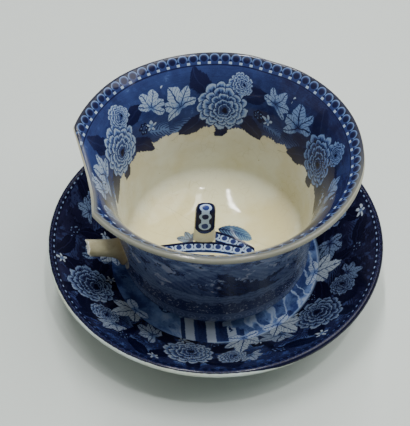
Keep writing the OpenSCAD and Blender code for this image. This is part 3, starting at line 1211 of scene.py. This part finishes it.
class CUP_OT_bowl(bpy.types.Operator):
    """Make the cup's flared bowl, with its rim cut back on one side."""

    bl_idname = "cup.bowl"
    bl_label = "Cup bowl"

    COLUMNS = 480
    LINE_POINTS = 400
    UNDERSIDE_ROWS, HEEL_ROWS, WALL_ROWS, LIP_ROWS, TURN_ROWS, FLOOR_ROWS = 7, 15, 64, 13, 17, 12
    LEAN_POWER, CURL_POWER = 2, 8
    CROWDING = 1.4
    CUT_SOFTNESS = 0.35 * MM
    CUT_REACH, CUT_BOW_REACH = 0.75, 0.42
    WAVER_LOW, WAVER_RISE = 35 * MM, 42 * MM
    FAR = 60 * MM

    def wall_lines(self, sizes):
        """Middle line of the wall, its width and its two faces, from the heel to the lip."""
        heel_z = BOWL_LOW.z + sizes.heel
        foot_r = sizes.body_radius - sizes.wall / 2
        tip_r = BOWL_HIGH.y - sizes.lip_wall / 2
        tip_z = BOWL_HIGH.z - sizes.lip_wall / 2
        t = np.linspace(0, 1, self.LINE_POINTS)
        lean, curl = t ** self.LEAN_POWER, t ** self.CURL_POWER
        flare = sizes.lean_share * lean + (1 - sizes.lean_share) * curl
        middle_r = foot_r + flare * (tip_r - foot_r)
        middle_z = heel_z + t * (tip_z - heel_z)
        width = sizes.wall + t * (sizes.lip_wall - sizes.wall)
        outer = moved_sideways(middle_r, middle_z, width / 2)
        inner = moved_sideways(middle_r, middle_z, -width / 2)
        return t, middle_r, middle_z, width, outer, inner

    def wall_top(self, sizes, azimuth, t, middle_r):
        """Share of the wall's line that the cut leaves in each direction."""
        away = turn_from(azimuth, sizes.cut_azimuth)
        cut_r = BOWL_HIGH.y - sizes.cut_depth - sizes.lip_wall / 2
        limit = cut_r / np.cos(np.clip(away, -1.0, 1.0))
        limit = limit - sizes.cut_bow * np.clip(1 - (away / self.CUT_BOW_REACH) ** 2, 0, 1)
        soft = self.CUT_SOFTNESS
        limit = -soft * np.logaddexp(-limit / soft, -middle_r[-1] / soft)
        top = np.interp(limit, middle_r, t)
        top = np.minimum(top / np.interp(middle_r[-1] - soft * math.log(2), middle_r, t), 1)
        return np.where(np.abs(away) < self.CUT_REACH, top, 1.0)

    def execute(self, context):
        sizes = context.scene.cup_settings
        colours = context.scene.print_settings
        azimuth = around(self.COLUMNS)
        t, middle_r, middle_z, width, outer, inner = self.wall_lines(sizes)
        top = self.wall_top(sizes, azimuth, t, middle_r)
        base_z, foot_r, floor_z = BOWL_LOW.z, CUP_FOOT_HIGH.x, POST_LOW.z
        rows, inside = [], []

        def at(line, share):
            return np.interp(share, t, line)

        def add(is_inside, *values):
            """Adds a row: radius, height, way down from the lip's crest and distance from it."""
            rows.append([value * np.ones(self.COLUMNS) for value in values])
            inside.append(is_inside)

        def way_down(line):
            way = arc_length(*line)
            return way[-1] - way

        def quarter(steps):
            return np.linspace(0, math.pi / 2, steps)

        for share in np.linspace(0.1, 1, self.UNDERSIDE_ROWS)[:-1]:
            add(False, foot_r * share, base_z, self.FAR, self.FAR)
        for angle in quarter(self.HEEL_ROWS)[:-1]:
            add(False, foot_r + (outer[0][0] - foot_r) * math.sin(angle),
                outer[1][0] - (outer[1][0] - base_z) * math.cos(angle), self.FAR, self.FAR)
        outer_way, inner_way = way_down(outer), way_down(inner)
        for step in np.linspace(0, 1, self.WALL_ROWS):
            share = top * (1 - (1 - step) ** self.CROWDING)
            way = at(outer_way, share)
            add(False, at(outer[0], share), at(outer[1], share), way, way - at(outer_way, top))
        tip_r, tip_z, half = at(middle_r, top), at(middle_z, top), at(width, top) / 2
        start = np.arctan2(at(outer[1], top) - tip_z, at(outer[0], top) - tip_r)
        for angle in np.linspace(0, math.pi, self.LIP_ROWS)[1:-1]:
            past_crest = half * (angle - math.pi / 2)
            add(angle > math.pi / 2, tip_r + half * np.cos(start + angle),
                tip_z + half * np.sin(start + angle), at(inner_way, top) + past_crest, past_crest)
        turn_z = floor_z + sizes.turn
        turn_t = np.interp(turn_z, inner[1], t)
        past_crest = half * math.pi / 2
        for step in np.linspace(0, 1, self.WALL_ROWS):
            share = turn_t + (top - turn_t) * (1 - step ** self.CROWDING)
            way = at(inner_way, share) + past_crest
            add(True, at(inner[0], share), at(inner[1], share), way, way - at(inner_way, top))
        turn_r = at(inner[0], turn_t)
        for angle in quarter(self.TURN_ROWS)[-2::-1]:
            add(True, sizes.floor_radius + (turn_r - sizes.floor_radius) * math.sin(angle),
                turn_z - (turn_z - floor_z) * math.cos(angle), self.FAR, self.FAR)
        for share in np.linspace(1, 0.06, self.FLOOR_ROWS)[1:]:
            add(True, sizes.floor_radius * share, floor_z, self.FAR, self.FAR)

        radii, heights, down, from_lip = np.array(rows).transpose(1, 0, 2)
        wobble = 0.06 * MM * np.sin(5 * azimuth + 2.0)
        for middle, spread, size in RIM_BUMPS:
            off = turn_from(azimuth, math.radians(middle)) / math.radians(spread)
            wobble = wobble + size * MM * np.exp(-off ** 2)
        rise = np.clip((heights - self.WAVER_LOW) / self.WAVER_RISE, 0, 1)
        points, faces, row_faces = capped_grid(revolved(radii + wobble * rise ** 2, heights),
                                               self.COLUMNS, (0, 0, base_z), (0, 0, floor_z))
        slots = [0 if inside[min(row + 1, len(inside) - 1)] else 1 for row in row_faces]
        attributes = {"down": np.append(down, [self.FAR] * 2),
                      "from_lip": np.append(np.abs(from_lip), [self.FAR] * 2)}
        piece = mesh_piece("cup_bowl_glazed", points, faces, attributes,
                           [cup_inside_material(colours),
                            cup_outside_material(colours, context.scene.stub_settings)], slots)
        add_piece(piece, "cup", ["cup_bowl"])
        return {"FINISHED"}


RING_COLUMNS = 240
RING_EDGE, RING_JOIN = 0.45 * MM, 0.05 * MM
WORN_HEIGHT = 1.2 * MM


def ring_piece(name, low, high, sizes, material):
    """Foot ring with soft edges that widens from its standing band to the piece above."""
    outer_r, height = high.x, high.z - low.z
    side = (sizes.width - sizes.land) / 2
    outline = [(outer_r - side - sizes.land, 0), (outer_r - side, 0), (outer_r, height),
               (outer_r - sizes.width, height)]
    line = rounded_outline(outline, (RING_EDGE, RING_EDGE, RING_JOIN, RING_JOIN), 6)
    radii, heights = (np.repeat(values[:, None], RING_COLUMNS, 1) for values in np.array(line).T)
    faces, _ = grid_faces(len(line), RING_COLUMNS, closed=True)
    worn = np.clip(1 - heights / WORN_HEIGHT, 0, 1).ravel()
    return mesh_piece(name, revolved(radii, heights + low.z), faces, {"worn": worn}, [material])


def rounded_outline(corners, radii, steps):
    """Closed outline with each corner cut round by its own radius."""
    line = []
    count = len(corners)
    for i, (corner, radius) in enumerate(zip(corners, radii)):
        corner = np.array(corner)
        back = np.array(corners[i - 1]) - corner
        ahead = np.array(corners[(i + 1) % count]) - corner
        start = corner + back / np.linalg.norm(back) * radius
        end = corner + ahead / np.linalg.norm(ahead) * radius
        for s in np.linspace(0, 1, steps):
            line.append((1 - s) ** 2 * start + 2 * s * (1 - s) * corner + s ** 2 * end)
    return line


class CUP_OT_foot(bpy.types.Operator):
    """Make the cup's foot ring."""

    bl_idname = "cup.foot"
    bl_label = "Cup foot ring"

    def execute(self, context):
        material = plain_glaze_material(context.scene.print_settings, "cup foot glaze")
        piece = ring_piece("cup_foot_glazed", CUP_FOOT_LOW, CUP_FOOT_HIGH,
                           context.scene.foot_settings, material)
        add_piece(piece, "cup", ["cup_foot_ring"])
        return {"FINISHED"}


class CUP_OT_saucer(bpy.types.Operator):
    """Make the deep saucer."""

    bl_idname = "cup.saucer"
    bl_label = "Saucer"

    COLUMNS = 400
    WELL_POINTS, SIDE_POINTS, LIP_POINTS = 20, 70, 13
    SMOOTHING = 5
    WARP_OUT, WARP_UP = 0.12 * MM, 0.10 * MM
    PRINT_START_ROWS = 4
    FAR = 100 * MM

    def execute(self, context):
        sizes = context.scene.saucer_settings
        colours = context.scene.print_settings
        half = sizes.wall / 2
        middle_low = SAUCER_LOW.z + half
        tip_r, tip_z = SAUCER_HIGH.x - half, SAUCER_HIGH.z - half
        t = np.linspace(0, 1, self.SIDE_POINTS)
        side_r = sizes.well_radius + t * (tip_r - sizes.well_radius)
        side_z = middle_low + t ** sizes.steepening * (tip_z - middle_low)
        flat = np.linspace(0.05, 1, self.WELL_POINTS)[:-1] * sizes.well_radius
        line_r = np.concatenate([flat, side_r])
        line_z = np.concatenate([np.full(len(flat), middle_low), side_z])
        line_z = smoothed(line_z, self.SMOOTHING)
        under = moved_sideways(line_r, line_z, half)
        over = moved_sideways(line_r, line_z, -half)
        start = math.atan2(under[1][-1] - line_z[-1], under[0][-1] - line_r[-1])
        arc = start + np.linspace(0, math.pi, self.LIP_POINTS)[1:-1]
        lip = (line_r[-1] + half * np.cos(arc), line_z[-1] + half * np.sin(arc))
        r, z = (np.concatenate([under[i], lip[i], over[i][::-1]]) for i in (0, 1))
        way = arc_length(r, z)
        crest = len(under[0]) + len(arc) // 2
        azimuth = around(self.COLUMNS)
        out = r[:, None] / SAUCER_HIGH.x
        radii = r[:, None] + self.WARP_OUT * np.sin(2 * azimuth + 1.1) * out ** 4
        heights = z[:, None] + self.WARP_UP * np.sin(3 * azimuth) * out ** 6
        points, faces, row_faces = capped_grid(revolved(radii, heights), self.COLUMNS,
                                               (0, 0, z[0]), (0, 0, z[-1]))
        slots = [0 if row >= crest - self.PRINT_START_ROWS else 1 for row in row_faces]
        from_lip = np.append(np.repeat(way - way[crest], self.COLUMNS), [self.FAR] * 2)
        # Underside glaze in the same cooler cast, painted shade
        under_glaze = plain_glaze_material(colours, "saucer underside glaze", SAUCER_SHADE_TINT)
        piece = mesh_piece("saucer_glazed", points, faces,
                           {"from_lip": from_lip, "worn": np.zeros(len(points))},
                           [saucer_material(colours, sizes.print_ring / MM), under_glaze], slots)
        add_piece(piece, "saucer", ["saucer_dish"])
        return {"FINISHED"}


def smoothed(values, passes):
    """Line with its kinks eased by averaging each inner point with its neighbours."""
    values = values.copy()
    for _ in range(passes):
        values[1:-1] = (values[:-2] + 2 * values[1:-1] + values[2:]) / 4
    return values


class CUP_OT_saucer_foot(bpy.types.Operator):
    """Make the saucer's foot ring."""

    bl_idname = "cup.saucer_foot"
    bl_label = "Saucer foot ring"

    def execute(self, context):
        material = plain_glaze_material(context.scene.print_settings, "saucer foot glaze")
        piece = ring_piece("saucer_foot_glazed", SAUCER_FOOT_LOW, SAUCER_FOOT_HIGH,
                           context.scene.foot_settings, material)
        add_piece(piece, "saucer", ["saucer_foot_ring"])
        return {"FINISHED"}


class CUP_OT_stub(bpy.types.Operator):
    """Make the stub that is left of the broken handle."""

    bl_idname = "cup.stub"
    bl_label = "Handle stub"

    COLUMNS, ROWS = 72, 44
    SEED = 7
    FLARE_LENGTH = 2.6 * MM
    UNDER_FLARE = 0.7
    SLANT = 1.3 * MM
    ROOT_IN, ROOT_DEEPEST = 0.6 * MM, 0.8 * MM
    BREAK_RINGS = (0.90, 0.66, 0.40, 0.16)

    def execute(self, context):
        sizes = context.scene.stub_settings
        cup = context.scene.cup_settings
        rng = np.random.default_rng(self.SEED)
        angle = around(self.COLUMNS)
        ragged = 0.28 * MM * np.sin(3 * angle + 1) + 0.18 * MM * np.sin(7 * angle)
        ragged += rng.normal(0, 0.12 * MM, self.COLUMNS)
        reach = sizes.length - 0.4 * MM + ragged + self.SLANT * np.sin(angle)
        spread = (sizes.root_width - sizes.thickness) / 2
        below = 1 + self.UNDER_FLARE * np.maximum(-np.sin(angle), 0)
        grid, out = [], []
        for share in np.linspace(0, 1, self.ROWS):
            along = reach * share
            half = sizes.thickness / 2 * (1 + 0.05 * np.sin(2 * angle + 0.5) + 0.02 * share)
            side = half + spread * np.exp(-along / self.FLARE_LENGTH) * below
            grid.append(np.stack([along, side * np.cos(angle), side * np.sin(angle)], -1))
            out.append(np.full(self.COLUMNS, share * 0.97))
        end = grid[-1]
        centre = end.mean(0)
        for inset in self.BREAK_RINGS:
            ring = centre + (end - centre) * inset
            ring[:, 0] += rng.normal(0, 0.16 * MM, self.COLUMNS) - 0.25 * MM * (1 - inset)
            grid.append(ring)
            out.append(np.ones(self.COLUMNS))
        ahead, aside, above = np.array(grid).transpose(2, 0, 1)
        cos_rise, sin_rise = math.cos(sizes.rise), math.sin(sizes.rise)
        radial = cup.body_radius - self.ROOT_IN + ahead * cos_rise - above * sin_rise
        height = CUP_FOOT_LOW.z + sizes.root_height + ahead * sin_rise + above * cos_rise
        wall = np.sqrt(np.maximum(cup.body_radius ** 2 - aside ** 2, 0)) - self.ROOT_DEEPEST
        radial = np.maximum(radial, wall)
        ca, sa = math.cos(sizes.azimuth), math.sin(sizes.azimuth)
        points = np.stack([radial * ca - aside * sa, radial * sa + aside * ca, height], -1)
        points = points.reshape(-1, 3)
        points, faces, _ = capped_grid(points, self.COLUMNS, points[:self.COLUMNS].mean(0),
                                       points[-self.COLUMNS:].mean(0))
        piece = mesh_piece("handle_stub_broken", points, faces,
                           {"out": np.append(out, [0.0, 1.0])},
                           [stub_material(context.scene.print_settings)])
        add_piece(piece, "cup", ["handle_stub"])
        return {"FINISHED"}


class CUP_OT_post(bpy.types.Operator):
    """Make the small round-topped post on the cup's floor."""

    bl_idname = "cup.post"
    bl_label = "Floor post"

    COLUMNS, ROWS = 96, 60
    STRAIGHT_SHARE = 0.6
    SQUARENESS = 0.62
    SKIRT, SKIRT_HEIGHT = 0.2 * MM, 0.8 * MM
    SIDE_INSET, FACE_INSET = 0.2 * MM, 0.3 * MM

    def execute(self, context):
        sizes = context.scene.post_settings
        middle = (POST_LOW + POST_HIGH) / 2
        size = POST_HIGH - POST_LOW
        dome = sizes.top_width / 2
        straight = size.z - dome
        angle = around(self.COLUMNS)
        cos, sin = (np.sign(side) * np.abs(side) ** self.SQUARENESS
                    for side in (np.cos(angle), np.sin(angle)))
        rows = []
        for share in np.linspace(0, 1, self.ROWS):
            up, round_off = share / self.STRAIGHT_SHARE * straight, 1.0
            if share >= self.STRAIGHT_SHARE:
                over = (share - self.STRAIGHT_SHARE) / (1 - self.STRAIGHT_SHARE)
                swing = over * (math.pi / 2 - 0.05)
                up, round_off = straight + dome * math.sin(swing), math.cos(swing) ** 0.6
            taper = min(up / straight, 1)
            half_w = (size.x + taper * (sizes.top_width - size.x)) / 2 * round_off
            half_d = (size.y + taper * (sizes.top_depth - size.y)) / 2 * round_off
            skirt = self.SKIRT * math.exp(-up / self.SKIRT_HEIGHT)
            x = cos * (half_w - self.SIDE_INSET + skirt)
            y = sin * (half_d - self.FACE_INSET + skirt)
            rows.append(np.stack([middle.x + x + up * sizes.lean, middle.y + y,
                                  np.full(self.COLUMNS, POST_LOW.z + up)], -1))
        points, faces, _ = capped_grid(np.concatenate(rows), self.COLUMNS, rows[0].mean(0),
                                       rows[-1].mean(0))
        piece = mesh_piece("floor_post_printed", points, faces, {},
                           [post_material(context.scene.print_settings, sizes.lean)])
        add_piece(piece, "cup", ["floor_post"])
        return {"FINISHED"}


# Each lamp: its name, the setting that its power is a share of, the share, its place and its two
# sizes in metres, and its turn in degrees if it faces straight down instead of at the cup
LAMPS = (
    ("key lamp", "key", 1.0, (0.62, 0.12, 1.00), (0.85, 0.62), None),
    ("top lamp", "key", 0.46, (0.02, -0.10, 1.20), (1.10, 0.80), None),
    ("fill lamp", "key", 0.13, (-0.90, -0.20, 0.80), (1.0, 1.0), None),
    ("strip lamp", "strip", 1.0, (-0.098, 0.245, 1.00), (0.028, 0.80), -5.8),
    ("soft strip lamp", "strip", 0.30, (0.100, 0.315, 1.00), (0.055, 0.60), 11.0),
    ("glint lamp", "strip", 0.30, (0.166, -0.198, 1.00), (0.032, 0.032), None),
)
LAMP_TARGET = Vector((0, 0, 40 * MM))
FLOOR_HALF = 3.0

# Camera as fitted to the photograph: its place, its angles, its sensor in millimetres, and its
# focal length and the picture's longer side in pixels
CAMERA_PLACE = Vector((0.3, -215.7, 286.0)) * MM
CAMERA_DOWN, CAMERA_TURN, CAMERA_ROLL = (math.radians(a) for a in (49.07, 1.22, -0.22))
SENSOR = 36.0
FOCAL_PIXELS, PICTURE_PIXELS = 800, 426


class CUP_OT_stage(bpy.types.Operator):
    """Make the plain floor, the soft lights and the camera."""

    bl_idname = "cup.stage"
    bl_label = "Stage"

    def execute(self, context):
        settings = context.scene.stage_settings
        self.floor(context, settings)
        world = bpy.data.worlds.new("soft room")
        context.scene.world = world
        world.use_nodes = True
        background = world.node_tree.nodes["Background"]
        background.inputs["Color"].default_value = (0.96, 0.98, 1.0, 1.0)
        background.inputs["Strength"].default_value = settings.sky
        for name, source, share, place, size, turn in LAMPS:
            self.lamp(context, name, place, size, getattr(settings, source) * share, turn)
        self.camera(context)
        return {"FINISHED"}

    def floor(self, context, settings):
        mesh = bpy.data.meshes.new("floor")
        corners = [(x * FLOOR_HALF, y * FLOOR_HALF, 0)
                   for x, y in ((-1, -1), (1, -1), (1, 1), (-1, 1))]
        mesh.from_pydata(corners, [], [(0, 1, 2, 3)])
        floor = bpy.data.objects.new("floor", mesh)
        context.scene.collection.objects.link(floor)
        material, tree = material_tree("plain floor")
        place = scaled_place(tree)
        grain, _ = noise(place, 0.02, 3.0, 0.6)
        colour = blend_colours(tuple(0.96 * c for c in settings.floor), tuple(settings.floor),
                               grain)
        finished(tree, colour, place, 0.75, specular=0.2)
        mesh.materials.append(material)

    def lamp(self, context, name, place, size, power, turn):
        """Area lamp that faces the cup, or, with a turn, one that faces straight down."""
        data = bpy.data.lights.new(name, "AREA")
        data.shape = "RECTANGLE"
        data.size, data.size_y = size
        data.energy = power
        lamp = bpy.data.objects.new(name, data)
        context.scene.collection.objects.link(lamp)
        lamp.location = place
        if turn is None:
            aim = LAMP_TARGET - Vector(place)
            lamp.rotation_euler = aim.to_track_quat("-Z", "Y").to_euler()
        else:
            lamp.rotation_euler = (0, 0, math.radians(turn))

    def camera(self, context):
        data = bpy.data.cameras.new("camera")
        camera = bpy.data.objects.new("camera", data)
        context.scene.collection.objects.link(camera)
        camera.location = CAMERA_PLACE
        aim = Euler((math.pi / 2 - CAMERA_DOWN, 0, CAMERA_TURN)).to_matrix()
        camera.rotation_euler = (aim @ Matrix.Rotation(CAMERA_ROLL, 3, "Z")).to_euler()
        data.sensor_width = SENSOR
        data.lens = FOCAL_PIXELS / PICTURE_PIXELS * SENSOR
        data.clip_start, data.clip_end = 0.01, 20
        context.scene.camera = camera


class CUP_PT_panel(bpy.types.Panel):
    """Buttons and sizes for the cup and saucer."""

    bl_idname = "CUP_PT_panel"
    bl_label = "Flared cup and saucer"
    bl_space_type = "VIEW_3D"
    bl_region_type = "UI"
    bl_category = "Cup"

    def draw(self, context):
        for operator in OPERATORS:
            self.layout.operator(operator.bl_idname)
        for name, group in SETTINGS.items():
            settings = getattr(context.scene, name)
            for key in group.__annotations__:
                self.layout.prop(settings, key)


SETTINGS = {"cup_settings": CupSettings, "saucer_settings": SaucerSettings,
            "foot_settings": FootSettings, "stub_settings": StubSettings,
            "post_settings": PostSettings, "print_settings": PrintSettings,
            "stage_settings": StageSettings}
OPERATORS = (CUP_OT_stage, CUP_OT_saucer, CUP_OT_saucer_foot, CUP_OT_bowl, CUP_OT_foot,
             CUP_OT_stub, CUP_OT_post)


def register():
    for group in SETTINGS.values():
        bpy.utils.register_class(group)
    for operator in OPERATORS:
        bpy.utils.register_class(operator)
    bpy.utils.register_class(CUP_PT_panel)
    for name, group in SETTINGS.items():
        setattr(bpy.types.Scene, name, bpy.props.PointerProperty(type=group))


def unregister():
    for name in SETTINGS:
        delattr(bpy.types.Scene, name)
    bpy.utils.unregister_class(CUP_PT_panel)
    for operator in reversed(OPERATORS):
        bpy.utils.unregister_class(operator)
    for group in reversed(SETTINGS.values()):
        bpy.utils.unregister_class(group)


def main():
    """Makes every piece."""
    register()
    bpy.ops.cup.stage()
    bpy.ops.cup.saucer()
    bpy.ops.cup.saucer_foot()
    bpy.ops.cup.bowl()
    bpy.ops.cup.foot()
    bpy.ops.cup.stub()
    bpy.ops.cup.post()


if __name__ == "__main__":
    main()
